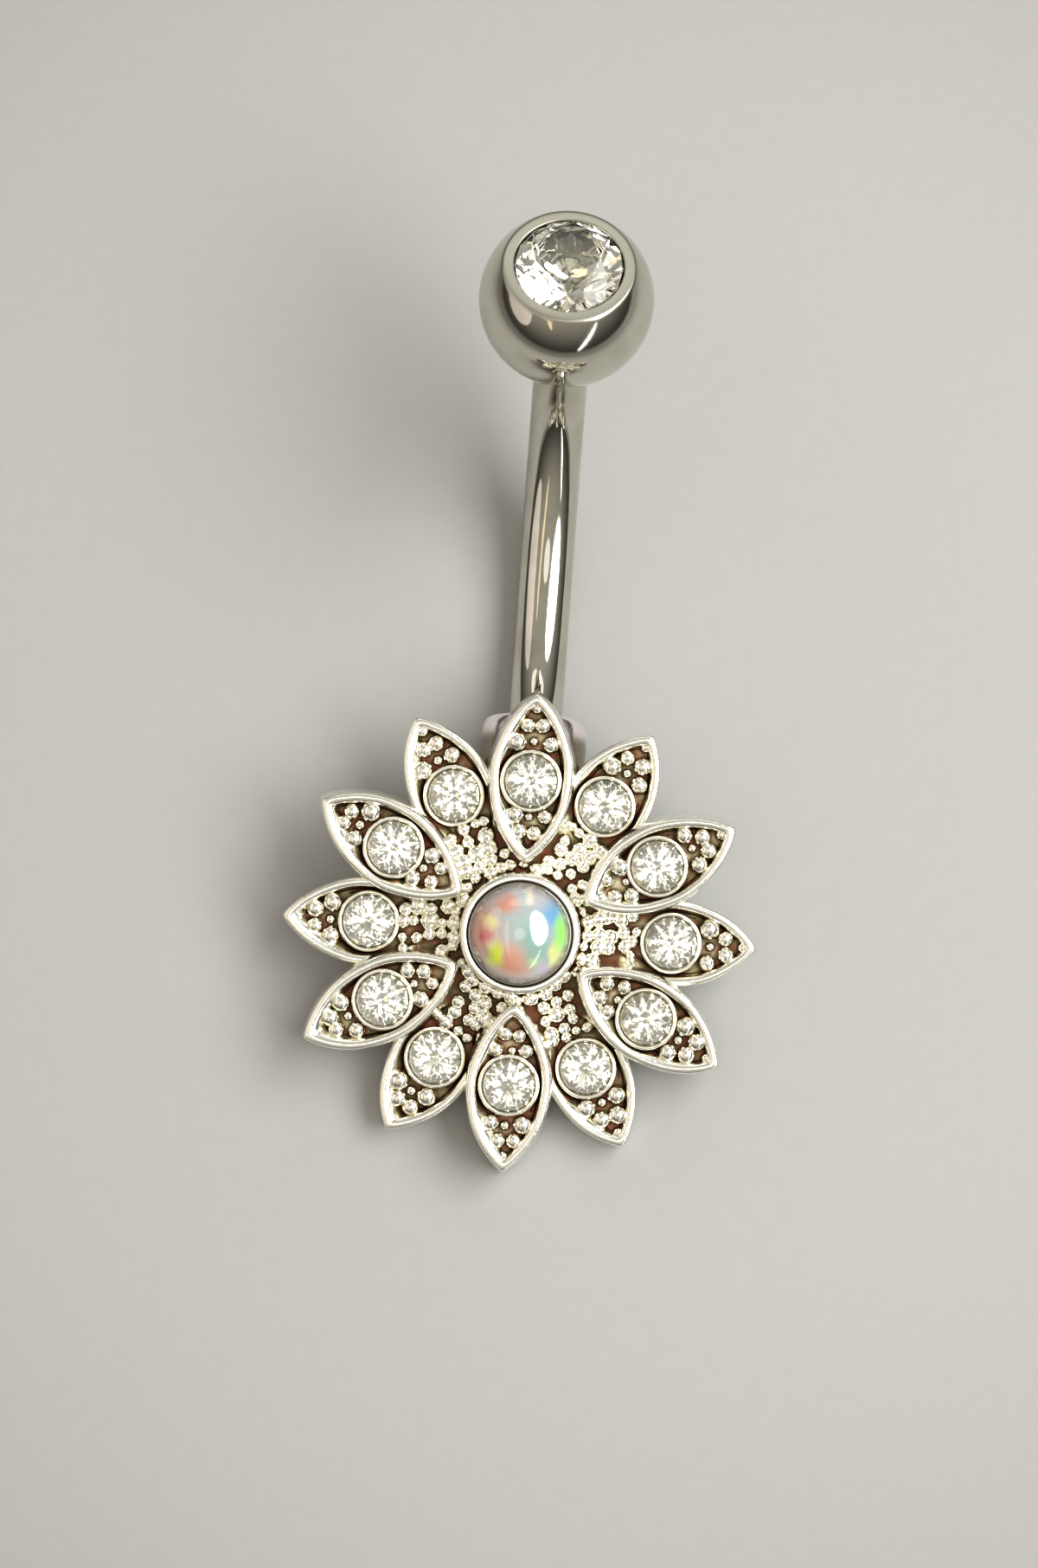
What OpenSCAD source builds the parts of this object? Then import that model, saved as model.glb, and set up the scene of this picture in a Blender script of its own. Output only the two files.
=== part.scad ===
// Navel ring: a curved steel bar that carries a fixed two-tier flower with an opal,
// and a screw-on ball with a set crystal at its other end.
// The flower is drawn face up: X to its right, Y towards the ball, Z out of its face.
// The whole ring is then tipped until it stands on two petal tips and the back of its bar.

/* [Bar] */
// Diameter of the curved bar
bar_d = 1.6; // [1.2:0.1:2]
// Radius of the bar's bend, at its centreline
bend_r = 7.25; // [7.2:0.05:9]
// Angle by which the bar leans back where it leaves the flower
lean_back = 38; // [36:1:44]
// Angle by which the bar leans forward where it meets the ball
lean_front = 62; // [50:1:70]
// Length of bar seated in the flower's barrel
bar_seat = 1.4; // [0.8:0.1:1.6]
// Diameter of the plain stud that the ball sits on
stud_d = 1.2; // [0.9:0.1:1.4]
// Length of that stud
stud_len = 1.6; // [1:0.1:1.9]

/* [Ball] */
// Diameter of the ball
ball_d = 5; // [4.5:0.25:7]
// Width of the flat round the bar's shoulder
foot_w = 0.1; // [0.05:0.05:0.3]
// Width of the flat rim round the ball's crystal
cup_rim = 0.3; // [0.2:0.05:0.5]
// Diameter of the ball's crystal
gem_d = 3.05; // [2:0.05:3.3]
// How far the crystal's widest line lies below that rim
gem_sink = 0.12; // [0.05:0.01:0.2]

/* [Flower] */
// Distance from the flower's middle to the petal tips
tip_r = 6.95; // [6.5:0.05:9]
// Distance from the flower's middle to the petals' inner ends
root_r = 2; // [1.9:0.05:2.3]
// Width of an upper petal
upper_w = 2.4; // [2:0.05:2.6]
// Width of a lower petal
lower_w = 2.5; // [2:0.05:2.7]
// Width of the raised edge round a petal
rim_w = 0.25; // [0.15:0.01:0.3]
// Depth of a petal's sunken floor below its edge
pocket_depth = 0.35; // [0.2:0.05:0.5]
// Height of the lower petals
lower_h = 1; // [0.9:0.05:1.4]
// Height of the upper petals' edges above those of the lower petals
tier_step = 0.9; // [0.7:0.05:1.3]
// Thickness of an upper petal
upper_t = 1.45; // [1.2:0.05:1.5]
// How far an upper petal's sloping side spreads at its foot
side_slope = 0.12; // [0:0.01:0.2]
// Radius of the sunken floor that the lower petals share
hub_r = 3; // [2.8:0.05:3.2]
// Radius of the disc that carries the petals
base_r = 3.4; // [3.3:0.05:3.8]
// Diameter of the raised grains
grain_d = 0.4; // [0.3:0.02:0.42]

/* [Barrel behind the flower] */
// Diameter of the barrel that the bar goes into
barrel_d = 3.1; // [2.6:0.1:3.4]
// Length of the barrel
barrel_len = 2; // [1.6:0.1:2.2]
// Distance from the flower's middle to the barrel's open end
barrel_end = 6.15; // [5.8:0.05:6.6]
// Depth of the barrel's axis behind the flower at its open end
barrel_depth = 0.85; // [0.7:0.05:1]
// Angle by which the barrel leans back
barrel_lean = 10; // [4:1:12]
// How far behind its axis the bar comes out
bar_offset = 0.1; // [0:0.05:0.2]
// Rounding of the barrel's edges
barrel_round = 0.45; // [0.1:0.05:0.6]

/* [Stones] */
// Diameter of the petals' crystals
stone_d = 1.5; // [1.2:0.05:1.55]
// How far those crystals lie inward of their petals' middles
stone_in = 0.075; // [-0.1:0.025:0.25]
// Wall of the collar round each crystal
collar_w = 0.12; // [0.08:0.01:0.15]
// Height of the crystals' widest line above the petal's floor
stone_lift = 0.2; // [0.1:0.05:0.3]

/* [Opal] */
// Diameter of the opal
opal_d = 3; // [2.4:0.1:3.1]
// Height of the opal's dome
opal_dome = 0.95; // [0.5:0.05:1.2]
// Height of the opal's straight side
opal_side = 0.5; // [0.3:0.05:0.8]
// Wall of the band round the opal
band_w = 0.2; // [0.12:0.01:0.25]
// Height of the band's edge above the upper petals
band_rise = 0.5; // [0.3:0.05:0.9]

/* [Fit] */
// Gap between a seated piece and its seat
gap = 0.03; // [0.02:0.01:0.05]
// Height of a setting's lip above the widest line of what it holds
lip = 0.05; // [0.02:0.01:0.1]

/* [Hidden] */
PETALS = 6;
STONES = [for (i = [1 : 2 * PETALS]) str("petal_stone_", i < 10 ? "0" : "", i)];
$fn = 96;

// How far one shape runs into the next that it is joined to
ROOT = 0.2;
// How far a cut runs out past the surface that it opens
OPEN = 1;

// Proportions of a round brilliant, as shares of its diameter, and the room below its point
CROWN = 0.16;
GIRDLE = 0.03;
PAVILION = 0.43;
POINT_ROOM = 0.06;
// Radii of its table, its star corners and its lower halves' inner corners, as shares of its own
TABLE = 0.56;
STAR = 0.76;
HALVES = 0.3;

// Grains on one side of a petal's axis, mirrored to the other:
// [share of the half length from the petal's middle outward, share of the half width]
GRAINS = [[0.39, 0.40], [0.63, 0.18], [-0.43, 0.37], [-0.64, 0.18]];
// One more on the axis of a lower petal, beside the opal's band
GRAIN_INNER = -0.86;
// Height of a grain's middle above the floor, as a share of its diameter
GRAIN_RISE = 0.12;

// Heights in the flower, from its back
lower_floor = lower_h - pocket_depth;
upper_top = lower_h + tier_step;
upper_floor = upper_top - pocket_depth;
band_top = upper_top + band_rise;
band_r = opal_d / 2 + gap + band_w;
opal_base = band_top - opal_side - lip;

// The bar's centreline is an arc about this point in the plane X = 0
bend_y = barrel_end + bend_r * sin(lean_back);
bend_z = -barrel_depth - bar_offset + bend_r * cos(lean_back);
bar_r = bar_d / 2;
bar_end = [0, bend_y + bend_r * sin(lean_front), bend_z - bend_r * cos(lean_front)];

// Angle of the bend that a length of bar takes up
function bend_angle(length) = length / bend_r * 180 / PI;

// The ball is centred on the bar's line, its foot resting on the bar's shoulder.
// Levels in the ball run from its centre towards its crystal.
ball_r = ball_d / 2;
foot_level = -sqrt(pow(ball_r, 2) - pow(bar_r + foot_w, 2));
cup_level = sqrt(pow(ball_r, 2) - pow(gem_d / 2 + gap + cup_rim, 2));
gem_level = cup_level - gem_sink;
ball_at = bar_end + (gap - foot_level) * [0, cos(lean_front), sin(lean_front)];

// Rest: the floor touches two lower petal tips and the back of the bar.
// The tilt is that of the line from the tips that is tangent to the bar's outer arc.
tips_y = -tip_r * cos(180 / PETALS);
to_bend = [bend_y - tips_y, bend_z];
rest_tilt = asin((bend_r + bar_r) / norm(to_bend)) - atan2(to_bend[1], to_bend[0]);
rest_lift = -tips_y * sin(rest_tilt);

// Ends of the tipped ring along Y: the nearest petal's edge and the ball
function tipped_y(y, z) = y * cos(rest_tilt) - z * sin(rest_tilt);
near_y = tipped_y(-tip_r, upper_top);
far_y = tipped_y(ball_at[1], ball_at[2]) + ball_r;

module at_rest() {
    translate([0, -(near_y + far_y) / 2, rest_lift]) rotate([rest_tilt, 0, 0]) children();
}

// Radius of the two arcs that bound a pointed leaf
function leaf_r(length, width) = (pow(length, 2) + pow(width, 2)) / (4 * width);

// Pointed leaf, its long axis along Y and its middle at the origin, drawn in by an even margin
module leaf(length, width, margin) {
    r = leaf_r(length, width);
    intersection_for(side = [-1, 1])
        translate([side * (r - width / 2), 0]) circle(r - margin);
}

// The same leaf as a solid whose sides slope out towards its foot
module sloping_leaf(length, width, height, slope) {
    r = leaf_r(length, width);
    intersection_for(side = [-1, 1])
        translate([side * (r - width / 2), 0, 0]) cylinder(h = height, r1 = r + slope, r2 = r);
}

petal_len = tip_r - root_r;
petal_mid = (tip_r + root_r) / 2;
stone_r = petal_mid - stone_in;

// The first upper petal points at the ball, and lower ones stand half a step round
module upper_places() {
    for (i = [0 : PETALS - 1]) rotate(-i * 360 / PETALS) translate([0, petal_mid, 0]) children();
}
module lower_places() rotate(-180 / PETALS) upper_places() children();

module lower_tier() {
    difference() {
        linear_extrude(lower_h) {
            lower_places() leaf(petal_len, lower_w, 0);
            circle(base_r);
        }
        translate([0, 0, lower_floor]) linear_extrude(pocket_depth + OPEN) {
            lower_places() leaf(petal_len, lower_w, rim_w);
            circle(hub_r);
        }
    }
}

module upper_tier() {
    difference() {
        upper_places() translate([0, 0, upper_top - upper_t])
            sloping_leaf(petal_len, upper_w, upper_t, side_slope);
        translate([0, 0, upper_floor]) linear_extrude(pocket_depth + OPEN)
            upper_places() leaf(petal_len, upper_w, rim_w);
    }
}

module grain(aside, along, floor_z) {
    translate([aside, along, floor_z + GRAIN_RISE * grain_d]) sphere(d = grain_d);
}

module petal_grains(width, floor_z) {
    for (g = GRAINS, side = [-1, 1]) grain(side * g[1] * width / 2, g[0] * petal_len / 2, floor_z);
}

module collar(floor_z) {
    height = stone_lift + GIRDLE * stone_d + lip;
    translate([0, -stone_in, floor_z - ROOT])
        cylinder(h = ROOT + height, r = stone_d / 2 + gap + collar_w);
}

// Profile of the room for a brilliant: a straight mouth above its widest line, a cone below
module seat_profile(d) {
    deep = (PAVILION + POINT_ROOM) * d;
    polygon([[0, -deep], [gap, -deep], [d / 2 + gap, 0], [d / 2 + gap, OPEN], [0, OPEN]]);
}

module petal_seat(floor_z) {
    translate([0, -stone_in, floor_z + stone_lift]) rotate_extrude() seat_profile(stone_d);
}

module opal_band() {
    translate([0, 0, lower_floor - ROOT]) cylinder(h = band_top - lower_floor + ROOT, r = band_r);
}

// Barrel with rounded edges, its open end at the origin and its body towards -Y
module barrel() {
    r = barrel_d / 2;
    rotate([90, 0, 0]) rotate_extrude() {
        square([r - barrel_round, barrel_len]);
        translate([0, barrel_round]) square([r, barrel_len - 2 * barrel_round]);
        for (y = [barrel_round, barrel_len - barrel_round])
            translate([r - barrel_round, y]) circle(barrel_round);
    }
}

// Stretch of a round bar along the bend, between two angles from the bend's lowest point
module bent_bar(from_a, to_a, r) {
    translate([0, bend_y, bend_z]) rotate([0, 90, 0]) rotate([0, 0, from_a])
        rotate_extrude(angle = to_a - from_a) translate([bend_r, 0]) circle(r);
}

module flower() {
    color("silver") difference() {
        union() {
            lower_tier();
            upper_tier();
            lower_places() {
                petal_grains(lower_w, lower_floor);
                grain(0, GRAIN_INNER * petal_len / 2, lower_floor);
                collar(lower_floor);
            }
            upper_places() {
                petal_grains(upper_w, upper_floor);
                collar(upper_floor);
            }
            opal_band();
            translate([0, barrel_end, -barrel_depth]) rotate([-barrel_lean, 0, 0]) barrel();
        }
        lower_places() petal_seat(lower_floor);
        upper_places() petal_seat(upper_floor);
        translate([0, 0, opal_base]) cylinder(h = band_top, r = opal_d / 2 + gap);
        bent_bar(-lean_back - bend_angle(bar_seat + gap), 0, bar_r + gap);
    }
}

module stem() {
    color("gainsboro") {
        bent_bar(-lean_back - bend_angle(bar_seat), lean_front, bar_r);
        translate(bar_end) rotate([lean_front - 90, 0, 0])
            translate([0, 0, -ROOT]) cylinder(h = ROOT + stud_len, d = stud_d);
    }
}

// The ball's own frame: its centre, with Z running out through the crystal
module ball_frame() {
    translate(ball_at) rotate([lean_front - 90, 0, 0]) children();
}

module ball() {
    color("silver") ball_frame() rotate_extrude() difference() {
        intersection() {
            circle(ball_r);
            translate([0, foot_level]) square([ball_r, cup_level - foot_level]);
        }
        translate([0, gem_level]) seat_profile(gem_d);
        translate([0, foot_level - OPEN]) square([stud_d / 2 + gap, OPEN + stud_len]);
    }
}

// Round brilliant, its widest line from Z = 0 up: a table, 8 stars, 8 mains and 16 halves
// above it, 8 mains and 16 halves below. Stars and halves meet on the planes of the mains.
module brilliant(d) {
    r = d / 2;
    top = (GIRDLE + CROWN) * d;
    belt = GIRDLE * d;
    low = -PAVILION * d;
    step = 360 / 16;
    star_z = top - (STAR * cos(step) - TABLE) / (1 - TABLE) * (top - belt);
    halves_z = low * (1 - HALVES * cos(step));
    // Points on a ring, every one of the sixteen steps or every other one
    function ring(share, z, from, by) =
        [for (k = [from : by : 15]) [share * r * cos(k * step), share * r * sin(k * step), z]];
    pts = concat(ring(TABLE, top, 0, 2), ring(STAR, star_z, 1, 2), ring(1, belt, 0, 1), ring(1, 0, 0, 1),
                 ring(HALVES, halves_z, 1, 2), [[0, 0, low]]);
    star = 8;
    upper = 16;
    under = 32;
    deep = 48;
    tip = 56;
    faces = concat(
        [[for (i = [7 : -1 : 0]) i]],
        [for (i = [0 : 7]) [i, (i + 1) % 8, star + i]],
        [for (i = [0 : 7]) [i, star + i, upper + 2 * i, star + (i + 7) % 8]],
        [for (i = [0 : 7]) [star + i, upper + 2 * i + 1, upper + 2 * i]],
        [for (i = [0 : 7]) [star + i, upper + (2 * i + 2) % 16, upper + 2 * i + 1]],
        [for (i = [0 : 15]) [upper + i, upper + (i + 1) % 16, under + (i + 1) % 16, under + i]],
        [for (i = [0 : 7]) [under + 2 * i, under + 2 * i + 1, deep + i]],
        [for (i = [0 : 7]) [under + 2 * i + 1, under + (2 * i + 2) % 16, deep + i]],
        [for (i = [0 : 7]) [under + 2 * i, deep + i, tip, deep + (i + 7) % 8]]);
    polyhedron(pts, faces);
}

module ball_gem() color("aliceblue") ball_frame() translate([0, 0, gem_level]) brilliant(gem_d);

// Crystals 1 to 6 stand in the upper petals and 7 to 12 in the lower ones, clockwise
module petal_stone(i) {
    upper = i < PETALS;
    color("aliceblue") rotate(-(upper ? i : i + 0.5) * 360 / PETALS)
        translate([0, stone_r, (upper ? upper_floor : lower_floor) + stone_lift]) brilliant(stone_d);
}

module opal() {
    dome_r = (pow(opal_d / 2, 2) + pow(opal_dome, 2)) / (2 * opal_dome);
    color("lavender") translate([0, 0, opal_base + gap]) rotate_extrude() intersection() {
        square([opal_d / 2, opal_side + opal_dome]);
        translate([0, opal_side + opal_dome - dome_r]) circle(dome_r);
    }
}

at_rest() stem();
at_rest() ball();
at_rest() ball_gem();
at_rest() flower();
at_rest() opal();
for (i = [0 : 2 * PETALS - 1])
    at_rest() petal_stone(i);
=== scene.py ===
# %% [markdown]
# # A navel ring on a pale table
# The real object is a bent steel bar with a cast flower fixed to one end and a ball screwed
# to the other. The solids of its construction come in first. They say where everything is,
# and each visible surface is then made finer and given its finish around them.

from math import asin, atan2, cos, hypot, pi, radians, sin, sqrt

import bpy
import numpy as np
from mathutils import Matrix, Vector


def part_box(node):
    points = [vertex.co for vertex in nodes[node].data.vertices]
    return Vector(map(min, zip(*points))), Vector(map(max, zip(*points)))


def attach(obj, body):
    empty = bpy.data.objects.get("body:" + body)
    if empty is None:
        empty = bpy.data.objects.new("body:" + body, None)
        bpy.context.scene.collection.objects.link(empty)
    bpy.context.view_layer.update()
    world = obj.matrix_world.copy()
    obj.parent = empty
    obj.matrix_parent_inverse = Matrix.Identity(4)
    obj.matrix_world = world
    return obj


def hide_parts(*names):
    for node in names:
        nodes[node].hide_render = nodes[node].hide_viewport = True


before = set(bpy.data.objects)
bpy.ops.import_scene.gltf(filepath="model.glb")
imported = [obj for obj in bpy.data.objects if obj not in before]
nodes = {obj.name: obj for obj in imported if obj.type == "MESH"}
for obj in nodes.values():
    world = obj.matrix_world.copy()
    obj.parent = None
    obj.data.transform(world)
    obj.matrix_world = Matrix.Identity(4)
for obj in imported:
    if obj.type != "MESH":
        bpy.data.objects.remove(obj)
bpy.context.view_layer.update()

# %% [markdown]
# ## Sizes
# The ring is drawn in millimetres with its flower face up: X to its right, Y towards the
# ball, Z out of its face. These are the sizes that its maker would write on the drawing, and
# everything below follows from them.

# %% Sizes of the bar, the ball and the flower
BAR_D = 1.6
BEND_R = 7.25
LEAN_BACK = radians(38)
LEAN_FRONT = radians(62)
BAR_SEAT = 1.4
STUD_D = 1.2
STUD_LEN = 1.6
BALL_D = 5.0
FOOT_W = 0.1
CUP_RIM = 0.3
GEM_D = 3.05
GEM_SINK = 0.12

TIP_R = 6.95
ROOT_R = 2.0
UPPER_W = 2.4
LOWER_W = 2.5
RIM_W = 0.25
POCKET_DEPTH = 0.35
LOWER_H = 1.0
TIER_STEP = 0.9
UPPER_T = 1.45
SIDE_SLOPE = 0.12
HUB_R = 3.0
BASE_R = 3.4
GRAIN_D = 0.4

BARREL_D = 3.1
BARREL_LEN = 2.0
BARREL_END = 6.15
BARREL_DEPTH = 0.85
BARREL_LEAN = radians(10)
BAR_OFFSET = 0.1
BARREL_ROUND = 0.45

STONE_D = 1.5
STONE_IN = 0.075
STONE_LIFT = 0.2
COLLAR_W = 0.12
OPAL_D = 3.0
OPAL_DOME = 0.95
OPAL_SIDE = 0.5
BAND_W = 0.2
BAND_RISE = 0.5
GAP = 0.03
LIP = 0.05

PETALS = 6
PAVILION = 0.43
POINT_ROOM = 0.06
GIRDLE = 0.03
print("bar", BAR_D, "mm thick, ball", BALL_D, "mm, flower", 2 * TIP_R, "mm from tip to tip")

# %% Heights and places that follow from them
LOWER_FLOOR = LOWER_H - POCKET_DEPTH
UPPER_TOP = LOWER_H + TIER_STEP
UPPER_FLOOR = UPPER_TOP - POCKET_DEPTH
BAND_TOP = UPPER_TOP + BAND_RISE
BAND_R = OPAL_D / 2 + GAP + BAND_W
OPAL_BASE = BAND_TOP - OPAL_SIDE - LIP
PETAL_LEN = TIP_R - ROOT_R
PETAL_MID = (TIP_R + ROOT_R) / 2
BAR_R = BAR_D / 2
BALL_R = BALL_D / 2
BEND_Y = BARREL_END + BEND_R * sin(LEAN_BACK)
BEND_Z = BEND_R * cos(LEAN_BACK) - BARREL_DEPTH - BAR_OFFSET
FOOT_LEVEL = -sqrt(BALL_R ** 2 - (BAR_R + FOOT_W) ** 2)
CUP_LEVEL = sqrt(BALL_R ** 2 - (GEM_D / 2 + GAP + CUP_RIM) ** 2)
GEM_LEVEL = CUP_LEVEL - GEM_SINK
BALL_AXIS = np.array([0, cos(LEAN_FRONT), sin(LEAN_FRONT)])
BAR_END = np.array([0, BEND_Y + BEND_R * sin(LEAN_FRONT), BEND_Z - BEND_R * cos(LEAN_FRONT)])
BALL_AT = BAR_END + (GAP - FOOT_LEVEL) * BALL_AXIS
print("the ball's middle is at", BALL_AT.round(2), "and the petals' floors at",
      round(LOWER_FLOOR, 2), "and", round(UPPER_FLOOR, 2))

# %% [markdown]
# ## How the ring lies
# Put down on a table, the ring stands on the tips of two lower petals and on the back of its
# bar. The tilt is the angle of the line from those tips that is tangent to the bar's outer
# arc. One function turns any drawn point into its place on the table, in metres.

# %% From the drawing to the table
TIPS_Y = -TIP_R * cos(pi / PETALS)
TILT = asin((BEND_R + BAR_R) / hypot(BEND_Y - TIPS_Y, BEND_Z)) - atan2(BEND_Z, BEND_Y - TIPS_Y)
LIFT = -TIPS_Y * sin(TILT)
NEAR_Y = -TIP_R * cos(TILT) - UPPER_TOP * sin(TILT)
FAR_Y = BALL_AT[1] * cos(TILT) - BALL_AT[2] * sin(TILT) + BALL_R
SHIFT = -(NEAR_Y + FAR_Y) / 2
MM = 0.001


def on_table(points):
    """Turns points about X by the tilt, moves them along Y and Z, and gives metres."""
    x, y, z = np.moveaxis(np.asarray(points, float), -1, 0)
    tipped = np.stack([x, y * cos(TILT) - z * sin(TILT) + SHIFT,
                       y * sin(TILT) + z * cos(TILT) + LIFT], axis=-1)
    return tipped * MM


opal_low, opal_high = (np.array(corner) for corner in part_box("opal"))
opal_middle = on_table([0, 0, OPAL_BASE + GAP + (OPAL_SIDE + OPAL_DOME) / 2])
print("tilt in degrees:", round(TILT * 180 / pi, 3),
      "opal off by mm:", np.round(((opal_low + opal_high) / 2 - opal_middle) / MM, 2).tolist())

# %% [markdown]
# ## Camera
# The photograph looks straight at the flower's face from about 12 cm, with the ring turned
# a few degrees clockwise. The flower leans back on the table by its tilt, so the camera
# stands above it and leans by the same angle.

# %% Set the camera
# In pixels: the picture's height, the scale at the flower, and how far the flower lies to
# the right of the picture's middle and below it
IMAGE_H = 1812
PIXELS_PER_MM = 40
FLOWER_RIGHT = 1
FLOWER_DOWN = 172
# In millimetres: the camera's distance from the flower's face, the face's height on the
# drawing, the sensor's size and how near the camera begins to see
CAMERA_AWAY = 120
FACE_HEIGHT = 1.5
SENSOR = 36
NEAREST_SEEN = 5
ROLL = radians(4.2)

out_of_face = Vector((0, -sin(TILT), cos(TILT)))
along_ring = Vector((0, cos(TILT), sin(TILT)))
across_ring = Vector((1, 0, 0))
image_right = cos(ROLL) * across_ring + sin(ROLL) * along_ring
image_up = cos(ROLL) * along_ring - sin(ROLL) * across_ring
face_middle = Vector(on_table([0, 0, FACE_HEIGHT]))


def seen_from_face(right, up, away):
    """The point that lies so many millimetres right, up and away from the flower's face."""
    return face_middle + MM * (right * image_right + up * image_up + away * out_of_face)


camera = bpy.data.objects.new("camera", bpy.data.cameras.new("camera"))
bpy.context.scene.collection.objects.link(camera)
bpy.context.scene.camera = camera
camera.data.sensor_fit = "VERTICAL"
camera.data.sensor_width = SENSOR
camera.data.sensor_height = SENSOR
camera.data.lens = SENSOR * PIXELS_PER_MM * CAMERA_AWAY / IMAGE_H
camera.data.clip_start = NEAREST_SEEN * MM
turn = Matrix((image_right, image_up, out_of_face)).transposed().to_4x4()
camera.matrix_world = Matrix.Translation(seen_from_face(
    -FLOWER_RIGHT / PIXELS_PER_MM, FLOWER_DOWN / PIXELS_PER_MM, CAMERA_AWAY)) @ turn
print("camera at", np.round(camera.location, 4).tolist(), "lens", round(camera.data.lens, 1))

# %% [markdown]
# ## Surfaces from grids
# Nearly every part of the ring is a closed shell: a row of rings, one above the next, with
# its two ends drawn together. A grid of points with one row for each ring holds it all, so
# a shape is only a rule for where the points of each ring go.
# Each point also carries a number, its hollow value, which the finishes read. On the casting
# it runs from 0 on a bright edge to 1 deep in a hollow, where it paints patina and painted shade,
# a little more round the opal, and 2 to 3 on the barrel, where it paints shade that darkens the
# barrel towards the petals. On the steel it is 1 where nobody buffed.

# %% Close a grid of rings into a shell
def shell(grid, hollow):
    """Quads join each ring to the next, and a fan of triangles closes each end ring about its
    middle. The faces are turned to point outwards, which a positive volume shows: the sum of
    a . (b x c) over all triangles a, b, c is six times the volume."""
    rows, columns = grid.shape[:2]
    points = np.concatenate([grid.reshape(-1, 3), grid[[0, -1]].mean(axis=1)])
    hollow = np.reshape(hollow, (-1, 1)) if np.ndim(hollow) < 2 else hollow
    hollow = np.broadcast_to(hollow, (rows, columns))
    depth = np.concatenate([hollow.ravel(), hollow[[0, -1], 0]])
    index = np.arange(rows * columns).reshape(rows, columns)
    following = np.roll(index, -1, axis=1)
    quads = np.stack([index[:-1], following[:-1], following[1:], index[1:]], axis=-1)
    quads = quads.reshape(-1, 4)
    poles = rows * columns + np.repeat([0, 1], columns)
    fans = np.stack([poles, np.concatenate([following[0], index[-1]]),
                     np.concatenate([index[0], following[-1]])], axis=-1)
    triangles = np.concatenate([quads[:, :3], quads[:, [0, 2, 3]], fans])
    a, b, c = (points[triangles[:, k]] for k in range(3))
    if np.einsum("ij,ij->i", a, np.cross(b, c)).sum() < 0:
        quads = quads[:, ::-1]
        fans = fans[:, ::-1]
    return points, quads, fans, depth


cube = shell(np.array([[(0, 0, z), (1, 0, z), (1, 1, z), (0, 1, z)] for z in (0, 1)]), 0)
print("a cube as a shell has", len(cube[1]), "quads and", len(cube[2]), "triangles")

# %% [markdown]
# ## Profiles
# A turned part is drawn as a profile of radius and height and carried round an axis. Its
# corners are never sharp on real metal, and a rounded corner is what catches a line of
# light, so each corner of a profile is a short curve that starts and ends on its two sides.

# %% Round the corners of a profile
NEARLY_HALF = 0.49


def rounded(corners, radius, steps=5):
    """Replaces each inner corner of a line by the curve (1-t)^2 a + 2t(1-t) corner + t^2 b,
    whose ends a and b lie the radius from the corner on its two sides, but nearer than the
    middle of a side, so that two curves never meet."""
    corners = np.asarray(corners, float)
    radius = np.broadcast_to(radius, len(corners))
    before, here, after = corners[:-2], corners[1:-1], corners[2:]
    t = np.linspace(0, 1, steps).reshape(1, -1, 1)

    def side(end):
        way = end[:, :2] - here[:, :2]
        reach = np.linalg.norm(way, axis=1)
        share = np.minimum(radius[1:-1] / reach, NEARLY_HALF).reshape(-1, 1)
        return (here + (end - here) * share)[:, None]

    bends = (1 - t) ** 2 * side(before) + 2 * t * (1 - t) * here[:, None] + t ** 2 * side(after)
    return np.concatenate([corners[:1], bends.reshape(-1, corners.shape[1]), corners[-1:]])


def denser(profile, longest):
    """Adds evenly spaced points, so that no stretch is longer than the given length."""
    reach = np.linalg.norm(np.diff(profile[:, :2], axis=0), axis=1)
    pieces = np.maximum(np.ceil(reach / longest).astype(int), 1)
    place = np.concatenate([[0], np.cumsum(pieces)])
    wanted = np.arange(place[-1] + 1)
    return np.stack([np.interp(wanted, place, column) for column in profile.T], axis=1)


soft_corner = rounded([(0, 0), (1, 0), (1, 1)], 0.2)
print("a soft corner:", soft_corner.round(2).tolist())


# %% Carry a profile round an axis
def revolved(profile, columns, middle=(0, 0, 0), axis=(0, 0, 1)):
    """Each point (radius, height) of the profile becomes a ring about the axis through the
    middle: middle + radius (cos t X + sin t (axis x X)) + height axis."""
    t = np.linspace(0, 2 * pi, columns, endpoint=False)
    across = np.array([1.0, 0, 0])
    axis = np.asarray(axis, float)
    round_axis = np.outer(np.cos(t), across) + np.outer(np.sin(t), np.cross(axis, across))
    radius, height = profile[:, 0], profile[:, 1]
    return np.asarray(middle) + radius[:, None, None] * round_axis + height[:, None, None] * axis


print("turned, it has this many rings, points and coordinates:", revolved(soft_corner, 12).shape)

# %% [markdown]
# ## Making a piece
# Shells that are cast or turned together go into one mesh, which is placed on the table in
# its own points, rides with the ring's only body and stands for the solid that it refines.

# %% Put shells into a mesh
def make_piece(name, shells, material, node):
    """Stacks the shells' points and faces, places them and writes them into a new mesh."""
    starts = np.cumsum([0] + [len(part[0]) for part in shells[:-1]])
    points = on_table(np.concatenate([part[0] for part in shells]))
    quads = np.concatenate([part[1] + start for part, start in zip(shells, starts)])
    fans = np.concatenate([part[2] + start for part, start in zip(shells, starts)])
    depth = np.concatenate([part[3] for part in shells])
    mesh = bpy.data.meshes.new(name)
    mesh.from_pydata(points.tolist(), [], quads.tolist() + fans.tolist())
    mesh.shade_smooth()
    mesh.attributes.new("hollow", "FLOAT", "POINT").data.foreach_set("value", depth)
    mesh.materials.append(material)
    piece = bpy.data.objects.new(name, mesh)
    bpy.context.scene.collection.objects.link(piece)
    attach(piece, "root")
    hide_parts(node)
    print(name, "has", 2 * len(quads) + len(fans), "triangles")


# %% [markdown]
# ## Writing a finish
# A finish is a small sum: brightness here, tarnish there, a little grain over all. The
# Wire class lets such sums be written as Python expressions, each of which adds the nodes
# that it needs. Every other node comes from one method of the Finish class.

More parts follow.
